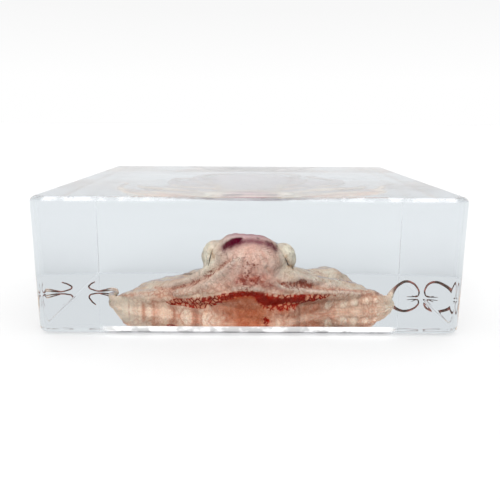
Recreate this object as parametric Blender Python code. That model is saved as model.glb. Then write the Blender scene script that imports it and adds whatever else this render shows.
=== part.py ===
"""A small octopus cast in a clear square resin block.

Metres, +Z up. The origin is the middle of the block's base. The octopus faces -Y, its arms spread to
the left and right, and its mantle lies behind its head. The block is parted along a flat plane, so that
the octopus lies in a pocket of its own form with a little clearance all round.
"""
import math

import bmesh
import bpy
from mathutils import Matrix, Vector

MM = 0.001

# The block: a square casting, a little narrower at the base than at the top
BLOCK_WIDTH = 75.0 * MM
BLOCK_HEIGHT = 24.4 * MM
DRAFT = math.radians(0.7)
CORNER_RADIUS_TOP = 2.0 * MM
CORNER_RADIUS_BASE = 2.4 * MM
EDGE_RADIUS_TOP = 1.0 * MM
EDGE_RADIUS_BASE = 1.8 * MM
CORNER_STEPS = 5
EDGE_STEPS = 3
PARTING_HEIGHT = 1.8 * MM
SEAM = 0.3 * MM

# The octopus lies just above the base
FLOOR = 0.45 * MM
POCKET_FLOOR = 0.15 * MM
POCKET_GROWTH = 0.65 * MM
TIP_CLEARANCE = 0.35 * MM

# Fineness of the octopus and of its pocket: grid size, smoothing rounds, share of faces kept
BODY_GRID = 0.45 * MM
BODY_SMOOTHING = 4
BODY_KEPT = 0.05
POCKET_GRID = 0.6 * MM
POCKET_SMOOTHING = 2
POCKET_KEPT = 0.05

# Rounded masses of the body: centre and half sizes, in millimetres
MASSES = {
    "crown": ((0.2, -22.8, 11.6), (6.3, 5.6, 4.9)),
    "face": ((0.2, -23.2, 8.6), (5.6, 4.8, 6.2)),
    "eye_left": ((-6.5, -21.8, 11.9), (2.9, 3.4, 3.1)),
    "eye_right": ((6.2, -20.8, 11.8), (2.6, 3.2, 2.8)),
    "neck": ((0.0, -17.5, 6.0), (8.4, 7.4, 5.8)),
    "shoulders": ((0.0, -9.0, 1.5), (17.0, 11.5, 5.2)),
    "mouth": ((1.0, -20.6, 1.6), (8.4, 5.4, 4.0)),
}

# The mantle, a sac behind the head: y, half width, half height and middle height, in millimetres
MANTLE = [(-22.0, 4.0, 4.0, 9.6), (-17.0, 6.2, 5.2, 9.0), (-11.0, 6.9, 5.0, 8.0), (-5.0, 7.3, 4.8, 7.2),
          (1.0, 8.4, 5.0, 6.8), (7.0, 9.6, 5.4, 6.7), (13.0, 10.3, 5.6, 6.7), (18.0, 10.1, 5.4, 6.6),
          (22.5, 8.8, 4.7, 6.3), (26.0, 6.3, 3.5, 5.9), (28.2, 3.2, 1.9, 5.6), (28.9, 1.0, 0.7, 5.5)]

# Arms from their roots to their ends: x, y, z and radius, in millimetres
ARMS = {
    "front_left": [(-2.4, -23.0, 9.6, 3.4), (-7.2, -20.4, 6.5, 3.2), (-12.6, -15.8, 4.5, 2.8),
                   (-19.0, -11.8, 3.0, 2.2), (-24.2, -8.0, 1.4, 1.3), (-27.4, -5.0, 0.9, 0.9),
                   (-29.0, -0.6, 0.8, 0.7), (-29.2, 3.0, 0.8, 0.65), (-28.6, 5.6, 0.9, 0.6)],
    "front_right": [(2.6, -23.0, 9.6, 3.4), (7.6, -20.0, 6.7, 3.2), (13.2, -15.0, 4.7, 2.8),
                    (19.8, -10.2, 3.4, 2.3), (25.8, -5.2, 1.5, 1.2), (29.2, -1.6, 0.8, 0.7),
                    (30.4, 2.2, 1.1, 0.75)],
    "second_left": [(-5.0, -17.0, 7.0, 3.6), (-10.6, -11.0, 4.8, 3.0), (-16.2, -6.6, 3.4, 2.5),
                    (-21.0, -2.6, 1.9, 1.6), (-24.6, 1.2, 0.9, 0.8), (-25.0, 4.0, 0.8, 0.6)],
    "second_right": [(5.0, -17.0, 7.0, 3.6), (11.0, -10.8, 5.1, 3.1), (16.6, -5.8, 4.9, 2.8),
                     (21.6, -2.8, 2.4, 1.9), (25.6, 1.0, 1.0, 0.9), (26.4, 4.4, 0.8, 0.6)],
    "third_left": [(-6.0, -8.0, 5.0, 3.2), (-12.6, -1.4, 2.9, 2.3), (-17.4, 5.4, 1.8, 1.5),
                   (-18.4, 12.2, 1.5, 1.1), (-17.8, 18.4, 1.4, 0.9), (-13.0, 17.4, 1.3, 0.75),
                   (-12.8, 13.2, 1.3, 0.6)],
    "third_right": [(6.0, -8.0, 5.0, 3.2), (13.2, -1.4, 3.2, 2.4), (19.8, 5.8, 1.9, 1.6),
                    (21.8, 13.6, 1.6, 1.2), (18.4, 20.2, 1.4, 0.9), (15.0, 24.2, 1.3, 0.75),
                    (17.4, 27.6, 1.3, 0.6)],
    "rear_left": [(-4.0, -2.0, 4.0, 3.0), (-9.4, 7.0, 2.6, 2.2), (-12.2, 16.0, 1.8, 1.6),
                  (-13.0, 24.0, 1.6, 1.2), (-9.0, 30.6, 1.4, 1.0), (-3.8, 31.2, 1.3, 0.8),
                  (-2.6, 28.2, 1.3, 0.6)],
    "rear_right": [(4.0, -2.0, 4.0, 3.0), (9.8, 6.0, 2.6, 2.2), (12.6, 14.0, 1.8, 1.6),
                   (11.6, 22.6, 1.6, 1.3), (12.6, 29.2, 1.4, 1.0), (7.4, 33.2, 1.3, 0.8),
                   (3.6, 31.4, 1.3, 0.6)],
}

# The web's front edge, lifted over the mouth like an arch, and the arms' feet below it
FOLDS = {
    "front_edge": [(-26.6, -7.2, 1.3, 0.8), (-22.8, -12.6, 2.8, 1.2), (-15.4, -16.8, 3.6, 1.3),
                   (-8.0, -22.8, 4.5, 1.4), (0.2, -26.2, 5.4, 1.3), (8.0, -22.8, 4.6, 1.4),
                   (15.6, -16.4, 3.9, 1.3), (23.4, -10.0, 3.0, 1.2), (27.4, -5.0, 1.2, 0.8)],
    "face_fold": [(0.2, -24.8, 11.0, 2.8), (0.2, -25.8, 8.0, 2.2), (0.2, -26.2, 5.8, 1.4)],
    "foot_left": [(-7.6, -21.2, 1.9, 1.8), (-12.0, -17.8, 1.9, 1.8), (-16.4, -14.2, 1.8, 1.7),
                  (-21.0, -12.8, 1.7, 1.5), (-25.2, -9.4, 1.3, 1.2), (-28.0, -4.0, 0.8, 0.8)],
    "foot_right": [(7.6, -21.0, 1.9, 1.8), (12.4, -16.8, 1.9, 1.8), (16.2, -13.4, 1.8, 1.7),
                   (20.4, -10.8, 1.7, 1.5), (25.2, -6.4, 1.4, 1.2), (29.0, -1.0, 0.8, 0.7)],
}

# Thin arm tips that curl out to the block's walls: x, y, z and radius, in millimetres
TIPS = {
    "tip_left": [(-28.8, 4.4, 0.9, 0.50), (-29.0, 7.4, 1.2, 0.45), (-30.2, 8.8, 1.0, 0.36),
                 (-31.6, 9.0, 0.85, 0.32), (-32.9, 9.0, 0.80, 0.30), (-34.3, 9.3, 1.0, 0.30),
                 (-35.1, 9.5, 1.6, 0.30), (-35.0, 8.8, 2.3, 0.28), (-33.9, 7.5, 2.7, 0.24)],
    "tip_right": [(30.1, 1.4, 1.0, 0.60), (30.8, 2.8, 1.6, 0.55), (31.6, 3.6, 2.3, 0.45),
                  (32.8, 4.6, 2.9, 0.42), (34.0, 5.4, 3.2, 0.42), (35.2, 5.5, 2.9, 0.38),
                  (36.05, 4.7, 1.95, 0.34), (36.15, 3.9, 1.05, 0.30), (35.5, 3.3, 0.85, 0.26)],
}

# The web between the arms reaches this far along each arm, and less between two arms
WEB_REACH_POINT = 3
WEB_HOLLOW = 0.78
WEB_HEIGHT = 1.7 * MM
WEB_STEPS = 6

# Suckers on the feet's outer sides: share of the way along the foot, height and radius in millimetres
SUCKERS = {
    "foot_left": [(0.12, 2.0, 1.0), (0.27, 2.0, 1.0), (0.42, 2.0, 0.95), (0.56, 2.0, 0.9),
                  (0.69, 1.9, 0.8), (0.81, 1.8, 0.65), (0.91, 1.8, 0.5)],
    "foot_right": [(0.10, 2.0, 1.0), (0.25, 2.0, 1.0), (0.40, 2.0, 1.0), (0.54, 2.0, 0.9),
                   (0.66, 2.0, 0.8), (0.77, 1.9, 0.7), (0.87, 1.8, 0.55)],
}
SUCKER_SIDES = 8
SUCKER_TAPER = 0.85
SUCKER_RISE = 0.40 * MM
SUCKER_ROOT = 0.80 * MM


def clear_scene():
    """Removes every object that the file opened with."""
    for old in list(bpy.data.objects):
        bpy.data.objects.remove(old, do_unlink=True)


def material(name, colour, roughness, transmission=0.0, ior=1.45):
    """A Principled material with the part's colour and finish."""
    made = bpy.data.materials.new(name)
    made.use_nodes = True
    shader = made.node_tree.nodes["Principled BSDF"]
    shader.inputs["Base Color"].default_value = (*colour, 1.0)
    shader.inputs["Roughness"].default_value = roughness
    shader.inputs["Metallic"].default_value = 0.0
    shader.inputs["Transmission Weight"].default_value = transmission
    shader.inputs["IOR"].default_value = ior
    return made


def add_object(name, mesh):
    """Puts a mesh in the scene as an object of that name."""
    made = bpy.data.objects.new(name, mesh)
    bpy.context.collection.objects.link(made)
    return made


def hide_cutter(cutter):
    """Marks an object as a tool for other shapes, not a piece of its own."""
    cutter.hide_render = True
    cutter.display_type = "WIRE"


def ellipsoid(bm, centre, half_sizes, growth, segments=32, rings=20):
    """Adds a rounded mass, larger by growth all round."""
    sizes = [size * MM + growth for size in half_sizes]
    place = Matrix.Translation(Vector(centre) * MM) @ Matrix.Diagonal((*sizes, 1.0))
    bmesh.ops.create_uvsphere(bm, u_segments=segments, v_segments=rings, radius=1.0, matrix=place)


def lengthened(points, growth):
    """The points of a path, with both ends moved outwards by growth."""
    path = [Vector(point) for point in points]
    for end, inner in ((0, 1), (-1, -2)):
        outwards = (path[end].xyz - path[inner].xyz).normalized() * (growth / MM)
        path[end] += outwards.to_4d()
        path[end].w = points[end][3]
    return path


def tube_mesh(name, points, growth, sides_level, steps):
    """A tapering tube along a smooth curve through the points, with closed ends."""
    curve = bpy.data.curves.new(name, "CURVE")
    curve.dimensions = "3D"
    curve.bevel_depth = 1.0
    curve.bevel_resolution = sides_level
    curve.resolution_u = steps
    curve.use_fill_caps = True
    spline = curve.splines.new("BEZIER")
    spline.bezier_points.add(len(points) - 1)
    for knot, (x, y, z, radius) in zip(spline.bezier_points, lengthened(points, growth)):
        knot.co = Vector((x, y, z)) * MM
        knot.radius = radius * MM + growth
        knot.handle_left_type = "AUTO"
        knot.handle_right_type = "AUTO"
    holder = add_object(name, curve)
    seen = holder.evaluated_get(bpy.context.evaluated_depsgraph_get())
    mesh = bpy.data.meshes.new_from_object(seen)
    bpy.data.objects.remove(holder, do_unlink=True)
    return mesh


def sac(bm, stations, growth, segments=32):
    """Adds a closed sac: elliptical rings along Y."""
    rings = []
    for y, half_width, half_height, middle in stations:
        ring = []
        reach = y * MM + (growth if y > 0.0 else 0.0)
        for index in range(segments):
            angle = math.tau * index / segments
            x = (half_width * MM + growth) * math.cos(angle)
            z = middle * MM + (half_height * MM + growth) * math.sin(angle)
            ring.append(bm.verts.new((x, reach, z)))
        rings.append(ring)
    for near, far in zip(rings, rings[1:]):
        for index in range(segments):
            following = (index + 1) % segments
            bm.faces.new((near[index], near[following], far[following], far[index]))
    bm.faces.new(rings[0][::-1])
    bm.faces.new(rings[-1])


def web(bm, growth, floor):
    """Adds the thin web between the arms: a flat sheet whose edge draws in between two arms."""
    order = ["front_left", "second_left", "third_left", "rear_left",
             "rear_right", "third_right", "second_right", "front_right"]
    reaches = [Vector(ARMS[name][WEB_REACH_POINT][:2]) * MM for name in order]
    middle = sum(reaches, Vector((0.0, 0.0))) / len(reaches)
    outline = []
    for reach, following in zip(reaches, reaches[1:] + reaches[:1]):
        between = middle + ((reach + following) / 2 - middle) * WEB_HOLLOW
        for step in range(WEB_STEPS):
            share = step / WEB_STEPS
            near = reach.lerp(between, share)
            far = between.lerp(following, share)
            outline.append(near.lerp(far, share))
    rings = []
    for height in (floor, WEB_HEIGHT + growth):
        ring = []
        for point in outline:
            out = (point - middle).normalized() * growth
            ring.append(bm.verts.new((point.x + out.x, point.y + out.y, height)))
        rings.append(ring)
    low, high = rings
    for index in range(len(low)):
        following = (index + 1) % len(low)
        bm.faces.new((low[index], high[index], high[following], low[following]))
    bm.faces.new(low)
    bm.faces.new(high[::-1])


def sucker_mesh(name, growth):
    """Short round studs that stand out of the feet, away from the body."""
    bm = bmesh.new()
    length = SUCKER_ROOT + SUCKER_RISE + growth
    for label, places in SUCKERS.items():
        path = [Vector(point) * MM for point in FOLDS[label]]
        spans = len(path) - 1
        for share, height, radius in places:
            index = int(share * spans)
            start, end = path[index], path[index + 1]
            spot = start.lerp(end, share * spans - index)
            along = end - start
            out = Vector((along.y, -along.x, 0.0)).normalized()
            if out.y > 0.0:
                out.negate()
            centre = Vector((spot.x, spot.y, height * MM)) + out * (spot.w + SUCKER_RISE + growth - length / 2)
            place = Matrix.Translation(centre) @ out.to_track_quat("Z", "Y").to_matrix().to_4x4()
            wide = radius * MM + growth
            bmesh.ops.create_cone(bm, cap_ends=True, segments=SUCKER_SIDES, radius1=wide,
                                  radius2=wide * SUCKER_TAPER, depth=length, matrix=place)
    mesh = bpy.data.meshes.new(name)
    bm.to_mesh(mesh)
    bm.free()
    return mesh


def fused_body(name, growth, floor, grid, smoothing, kept, extra=None):
    """One closed body: masses, sac, arms and web fused on a grid, then smoothed and thinned."""
    bm = bmesh.new()
    for centre, half_sizes in MASSES.values():
        ellipsoid(bm, centre, half_sizes, growth)
    for label, points in {**ARMS, **FOLDS}.items():
        bm.from_mesh(tube_mesh(label, points, growth, 4, 8))
    sac(bm, MANTLE, growth)
    web(bm, growth, floor)
    if extra:
        bm.from_mesh(extra)
    for vert in bm.verts:
        vert.co.z = max(vert.co.z, floor)
    mesh = bpy.data.meshes.new(name)
    bm.to_mesh(mesh)
    bm.free()
    body = add_object(name, mesh)
    fuse = body.modifiers.new("Fuse", "REMESH")
    fuse.mode = "VOXEL"
    fuse.voxel_size = grid
    smooth = body.modifiers.new("Smooth", "SMOOTH")
    smooth.iterations = smoothing
    thin = body.modifiers.new("Thin", "DECIMATE")
    thin.ratio = kept
    return body


def join_to(body, name, mesh):
    """Joins a closed mesh to a body, as one solid."""
    piece = add_object(name, mesh)
    hide_cutter(piece)
    union = body.modifiers.new(name, "BOOLEAN")
    union.operation = "UNION"
    union.object = piece


def rounded_square(half, corner, height):
    """The points of a square with round corners, seen from above, at one height."""
    points = []
    for quarter in range(4):
        turn = Matrix.Rotation(math.radians(90.0) * quarter, 3, "Z")
        for step in range(CORNER_STEPS):
            angle = math.radians(90.0) * step / (CORNER_STEPS - 1)
            x = half - corner + corner * math.cos(angle)
            y = half - corner + corner * math.sin(angle)
            points.append(turn @ Vector((x, y, height)))
    return points


def block_section(height):
    """Half width and corner radius of the block at a height, with its edges rounded over."""
    half = BLOCK_WIDTH / 2 - (BLOCK_HEIGHT - height) * math.tan(DRAFT)
    share = height / BLOCK_HEIGHT
    corner = CORNER_RADIUS_BASE + (CORNER_RADIUS_TOP - CORNER_RADIUS_BASE) * share
    for radius, distance in ((EDGE_RADIUS_BASE, height), (EDGE_RADIUS_TOP, BLOCK_HEIGHT - height)):
        if distance < radius:
            half -= radius - math.sqrt(radius ** 2 - (radius - distance) ** 2)
    return half, corner


def block_slice(name, bottom, top):
    """The part of the block between two heights."""
    edge_angles = [math.radians(90.0) * step / EDGE_STEPS for step in range(EDGE_STEPS + 1)]
    rounded = [EDGE_RADIUS_BASE * (1 - math.cos(angle)) for angle in edge_angles]
    rounded += [BLOCK_HEIGHT - EDGE_RADIUS_TOP * (1 - math.cos(angle)) for angle in edge_angles]
    heights = sorted([bottom, top] + [height for height in rounded if bottom < height < top])
    bm = bmesh.new()
    rings = []
    for height in heights:
        ring = [bm.verts.new(point) for point in rounded_square(*block_section(height), height)]
        rings.append(ring)
    for low, high in zip(rings, rings[1:]):
        for index in range(len(low)):
            following = (index + 1) % len(low)
            bm.faces.new((low[index], low[following], high[following], high[index]))
    bm.faces.new(rings[0][::-1])
    bm.faces.new(rings[-1])
    mesh = bpy.data.meshes.new(name)
    bm.to_mesh(mesh)
    bm.free()
    return add_object(name, mesh)


def cut_pocket(half, pocket):
    """Takes the octopus's pocket out of one half of the block."""
    cut = half.modifiers.new("Pocket", "BOOLEAN")
    cut.operation = "DIFFERENCE"
    cut.object = pocket


def build():
    clear_scene()
    skin = material("skin", (0.60, 0.42, 0.34), 0.45)
    resin = material("resin", (0.93, 0.96, 0.98), 0.03, transmission=1.0, ior=1.52)

    octopus = fused_body("octopus", 0.0, FLOOR, BODY_GRID, BODY_SMOOTHING, BODY_KEPT)
    octopus.data.materials.append(skin)
    join_to(octopus, "suckers", sucker_mesh("suckers", 0.0))
    for label, points in TIPS.items():
        join_to(octopus, label, tube_mesh(label, points, 0.0, 1, 2))

    pocket = fused_body("pocket", POCKET_GROWTH, POCKET_FLOOR, POCKET_GRID, POCKET_SMOOTHING, POCKET_KEPT,
                        extra=sucker_mesh("sucker_room", POCKET_GROWTH))
    hide_cutter(pocket)
    for label, points in TIPS.items():
        join_to(pocket, f"{label}_room", tube_mesh(label, points, TIP_CLEARANCE, 1, 2))

    lower = block_slice("resin_lower", 0.0, PARTING_HEIGHT - SEAM / 2)
    upper = block_slice("resin_upper", PARTING_HEIGHT + SEAM / 2, BLOCK_HEIGHT)
    for half in (lower, upper):
        half.data.materials.append(resin)
        cut_pocket(half, pocket)


build()
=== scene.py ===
"""The looks of a small octopus cast in a clear square resin block.

Positions in the tables are in millimetres, in the part's own frame: the origin is the middle of the
block's base, +Z is up, and the octopus faces -Y.
"""
import math

import bmesh
import bpy
import numpy as np
from mathutils import Matrix, Vector, noise
from mathutils.bvhtree import BVHTree


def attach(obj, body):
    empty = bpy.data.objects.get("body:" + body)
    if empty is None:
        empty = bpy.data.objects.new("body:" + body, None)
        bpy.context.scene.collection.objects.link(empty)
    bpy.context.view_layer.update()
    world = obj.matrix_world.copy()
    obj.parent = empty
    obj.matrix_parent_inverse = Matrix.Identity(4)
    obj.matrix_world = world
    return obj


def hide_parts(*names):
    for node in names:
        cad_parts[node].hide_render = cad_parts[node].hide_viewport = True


MM = 0.001
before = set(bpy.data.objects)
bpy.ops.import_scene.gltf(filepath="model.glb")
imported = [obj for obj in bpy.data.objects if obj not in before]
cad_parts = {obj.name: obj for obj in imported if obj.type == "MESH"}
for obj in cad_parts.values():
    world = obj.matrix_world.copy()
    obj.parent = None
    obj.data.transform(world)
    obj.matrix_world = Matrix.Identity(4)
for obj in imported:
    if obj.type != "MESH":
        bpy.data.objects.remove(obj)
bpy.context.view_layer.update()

# The block's measures, the same as the part's own
BLOCK_WIDTH = 75.0
BLOCK_HEIGHT = 24.4
DRAFT = math.radians(0.7)
CORNER_RADIUS_TOP = 2.0
CORNER_RADIUS_BASE = 2.4
EDGE_RADIUS_TOP = 1.0
EDGE_RADIUS_BASE = 1.8
# Sharper than the part's own, because wide roundings there show as dark bands through the resin
REAR_CORNER_RADIUS = 0.08
REAR_EDGE_RADIUS = 0.08
SIDE_EDGE_RADIUS = 0.5
# Points along each rounding
CORNER_STEPS = 13
EDGE_STEPS = 10

# How fine the octopus's skin is, and the height at which it is cut off flat
VOXEL = 0.29
SMOOTHING = 14
SOLE = -0.01

# Rounded masses of the body: centre and half sizes
MASSES = {
    "crown": ((0.2, -22.8, 11.6), (6.3, 5.6, 4.9)),
    "crown_left": ((-2.2, -22.6, 12.4), (4.4, 4.8, 4.3)),
    "face": ((0.2, -23.2, 8.6), (5.6, 4.8, 6.2)),
    "eye_left": ((-6.1, -21.6, 12.2), (2.8, 3.3, 3.1)),
    "eye_right": ((6.2, -20.8, 11.8), (2.6, 3.2, 2.8)),
    "neck": ((0.0, -17.5, 6.0), (8.4, 7.4, 5.8)),
    "shoulders": ((0.0, -9.0, 1.5), (17.0, 11.5, 5.2)),
    "mouth": ((1.0, -20.8, 1.6), (8.8, 6.2, 4.2)),
    "mouth_low": ((0.6, -20.6, -0.6), (9.6, 7.2, 3.6)),
    "chin": ((0.2, -23.4, 4.4), (5.4, 4.0, 3.0)),
    "cheek_left": ((-5.2, -21.4, 6.6), (4.6, 4.4, 4.2)),
    "cheek_right": ((5.0, -21.2, 6.6), (4.6, 4.4, 4.0)),
    "bump_right": ((15.6, -6.4, 5.6), (3.6, 3.4, 2.5)),
}

# The mantle, a sac behind the head: y, half width, half height and middle height
MANTLE = [
    (-22, 4, 4, 9.6), (-17, 6.2, 5.2, 9), (-11, 6.9, 5, 8), (-5, 7.3, 4.8, 7.2), (1, 8.4, 4.9, 6.5),
    (7, 9.6, 5.1, 6.2), (13, 10.3, 5.2, 6.1), (18, 10.1, 5.1, 6), (22.5, 8.8, 4.5, 5.8), (26, 6.3, 3.4, 5.6),
    (28.2, 3.2, 1.9, 5.5), (28.9, 1, 0.7, 5.5),
]

# Arms from their roots to their ends: x, y, z and radius
ARMS = {
    "front_left": [
        (-2.4, -23, 9.6, 3.4), (-7.2, -20.4, 6.5, 3.2), (-12.6, -15.8, 4.5, 2.8), (-19, -11.6, 3.4, 2.4),
        (-24.2, -8, 1.6, 1.4), (-27.4, -5, 0.7, 0.9), (-29, -0.6, 0.7, 0.7), (-29.2, 3, 0.6, 0.65),
        (-28.6, 5.6, 0.5, 0.6),
    ],
    "front_right": [
        (2.6, -23, 9.6, 3.4), (7.6, -20, 6.7, 3.2), (13.2, -15, 4.7, 2.8), (19.8, -10.2, 3.4, 2.3),
        (25.8, -5.2, 1.5, 1.2), (29.2, -1.6, 0.7, 0.7), (30.4, 2.2, 1.1, 0.75),
    ],
    "second_left": [
        (-5, -17, 7, 3.6), (-10.6, -11, 4.8, 3), (-16.2, -6.6, 3.4, 2.5), (-21.2, -2.6, 2.3, 1.9),
        (-24.6, 1.2, 1, 0.9), (-25, 4, 0.8, 0.6),
    ],
    "second_right": [
        (5, -17, 7, 3.6), (11, -10.8, 5.1, 3.1), (16.6, -5.8, 4.9, 2.8), (21.6, -2.8, 2.4, 1.9),
        (25.6, 1, 1, 0.9), (26.4, 4.4, 0.8, 0.6),
    ],
    "third_left": [
        (-6, -8, 5, 3.2), (-12.6, -1.4, 2.9, 2.3), (-17.4, 5.4, 1.8, 1.5), (-18.4, 12.2, 1.5, 1.1),
        (-17.8, 18.4, 1.4, 0.9), (-13, 17.4, 1.3, 0.75), (-12.8, 13.2, 1.3, 0.6),
    ],
    "third_right": [
        (6, -8, 5, 3.2), (13.2, -1.4, 3.2, 2.4), (19.8, 5.8, 1.9, 1.6), (21.8, 13.6, 1.6, 1.2),
        (18.4, 20.2, 1.4, 0.9), (15, 24.2, 1.3, 0.75), (17.4, 27.6, 1.3, 0.6),
    ],
    "rear_left": [
        (-4, -2, 4, 3), (-9.4, 7, 2.6, 2.2), (-12.2, 16, 1.8, 1.6), (-13, 24, 1.6, 1.2), (-9, 30.6, 1.4, 1),
        (-3.8, 31.2, 1.3, 0.8), (-2.6, 28.2, 1.3, 0.6),
    ],
    "rear_right": [
        (4, -2, 4, 3), (9.8, 6, 2.6, 2.2), (12.6, 14, 1.8, 1.6), (11.6, 22.6, 1.6, 1.3), (12.6, 29.2, 1.4, 1),
        (7.4, 33.2, 1.3, 0.8), (3.6, 31.4, 1.3, 0.6),
    ],
}

# The web's front edge, the arms' feet, and the long ridges of the skin: x, y, z and radius
FOLDS = {
    "front_edge": [
        (-26.6, -7.2, 1.3, 0.8), (-22.8, -12.6, 2.8, 1.2), (-15.4, -16.8, 3.6, 1.3), (-8, -22.8, 4.5, 1.4),
        (0.2, -26.2, 5.4, 1.3), (8, -22.8, 4.6, 1.4), (15.6, -16.4, 3.9, 1.3), (23.4, -10, 3, 1.2),
        (27.4, -5, 1.2, 0.8),
    ],
    "face_fold": [(0.2, -24.8, 11, 2.8), (0.2, -25.8, 8, 2.2), (0.2, -26.2, 5.8, 1.4)],
    "foot_left": [
        (-7.6, -21.2, 1.9, 1.8), (-12, -17.8, 1.9, 1.8), (-16.4, -14.2, 1.8, 1.7), (-21, -12.8, 1.7, 1.5),
        (-25.2, -9.4, 1.3, 1.2), (-28, -4, 0.7, 0.8),
    ],
    "foot_right": [
        (7.6, -21, 1.9, 1.8), (12.4, -16.8, 1.9, 1.8), (16.2, -13.4, 1.8, 1.7), (20.6, -11.8, 1.7, 1.6),
        (26, -9.4, 1.4, 1.35), (29.2, -4.6, 0.9, 0.95),
    ],
    "sole_left": [
        (-7.6, -21.2, -0.5, 2.1), (-12, -17.8, -0.5, 2.1), (-16.4, -14.2, -0.5, 2), (-21, -12.8, -0.5, 1.8),
        (-25.2, -9.4, -0.4, 1.4), (-28, -4, -0.2, 0.9),
    ],
    "sole_right": [
        (7.6, -21, -0.5, 2.1), (12.4, -16.8, -0.5, 2.1), (16.2, -13.4, -0.5, 2), (20.6, -11.8, -0.5, 2),
        (26, -9.4, -0.4, 1.8), (29.2, -4.6, -0.2, 1.4),
    ],
    "fan_left": [
        (-2.8, -26.8, 11.4, 0.9), (-4.4, -25.7, 9.8, 1), (-6.3, -24.5, 8.2, 1.1), (-8.2, -23.2, 6.8, 1.1),
        (-10.8, -21.6, 5.5, 1), (-14, -19.6, 4.6, 0.8),
    ],
    "fan_right": [
        (3.4, -26.4, 9.4, 0.9), (4.8, -25.4, 7.6, 1), (7.4, -23.8, 6.2, 0.9), (10.6, -21.4, 5.3, 0.8),
    ],
    "ridge_left": [
        (-4.8, -24.6, 12.6, 0.9), (-6.3, -24.1, 10.6, 0.9), (-8.6, -22, 8.9, 1), (-12.2, -18.4, 6.7, 1),
        (-16.6, -14.4, 5.3, 0.9),
    ],
    "ridge_right": [
        (3.6, -26, 7.6, 0.8), (6, -24, 6.5, 0.8), (8.8, -22.4, 5.8, 0.8), (13, -19.2, 5, 0.8),
        (17.6, -15.6, 4.2, 0.8), (22, -12.2, 3.5, 0.8), (25, -9.3, 3, 0.7),
    ],
    "shoulder_right": [
        (6.4, -22.8, 10.4, 0.9), (8.3, -21.9, 8.6, 0.9), (11, -19.6, 7.4, 0.9), (15.4, -14.8, 6.1, 0.9),
        (19.8, -11.5, 5, 0.8), (23, -9, 4.2, 0.7),
    ],
}

# Thin arm tips that curl out to the block's walls: x, y, z and radius
TIPS = {
    "tip_left": [
        (-28.8, 4.4, 0.6, 0.45), (-29, 7.2, 0.7, 0.26), (-30.2, 8.9, 0.5, 0.16), (-31.6, 9.1, 0.3, 0.15),
        (-32.9, 9, 0.24, 0.15), (-34.2, 9.4, 0.42, 0.16), (-35.3, 9.7, 0.95, 0.17), (-34.9, 8.9, 1.75, 0.17),
        (-33.7, 7.6, 2.55, 0.13),
    ],
    "tip_left_twin": [
        (-28.6, 5.4, 0.7, 0.35), (-29.1, 7.4, 0.95, 0.18), (-30.4, 8.7, 0.92, 0.14), (-31.6, 8.9, 0.62, 0.13),
        (-32.8, 8.95, 0.38, 0.09),
    ],
    "tip_right": [
        (30.1, 1.4, 0.9, 0.65), (30.7, 2.6, 1.5, 0.5), (31.5, 3.5, 2.25, 0.33), (32.7, 4.6, 2.95, 0.29),
        (34, 5.5, 3.3, 0.28), (35.3, 5.6, 3, 0.23), (36.35, 4.7, 2, 0.19), (36.6, 3.9, 1.05, 0.16),
        (36.2, 3.4, 0.36, 0.12), (34.9, 2.5, 0.62, 0.06),
    ],
    "tip_right_twin": [(36.2, 3.7, 0.42, 0.14), (35.3, 3.3, 0.3, 0.1), (33.9, 3, 0.36, 0.05)],
}

# The web between the arms: the point of each arm that it reaches, how far its edge draws in between
# them, the heights of its two faces, and its steps from arm to arm
WEB_REACH_POINT = 3
WEB_HOLLOW = 0.78
WEB_FOOT = -1.0
WEB_HEIGHT = 1.7
WEB_STEPS = 6

# The web's rim across the front, between the upper skin and the suckers' side: x, y and z
RIM = [
    (-27.2, -8.3, 2.3), (-24.2, -12.8, 2.8), (-22.4, -14.6, 3.2), (-19.2, -16.8, 3.6), (-16.2, -18.4, 4),
    (-13.1, -21, 4.5), (-11.1, -22.3, 4.9), (-9.6, -23, 5.3), (-7.7, -24.8, 5.6), (-5, -26.3, 5.9),
    (-3.7, -27, 6.3), (-1.6, -27.8, 6.7), (0.2, -28.1, 6.8), (1.7, -28, 6.6), (3.1, -27.5, 6.3),
    (4.8, -26.4, 5.9), (8.6, -23.1, 5.6), (13.1, -20.1, 4.9), (17.6, -16.8, 4.2), (22.1, -13.5, 3.5),
    (25, -9.7, 3), (28.4, -4, 2.3),
]

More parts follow.
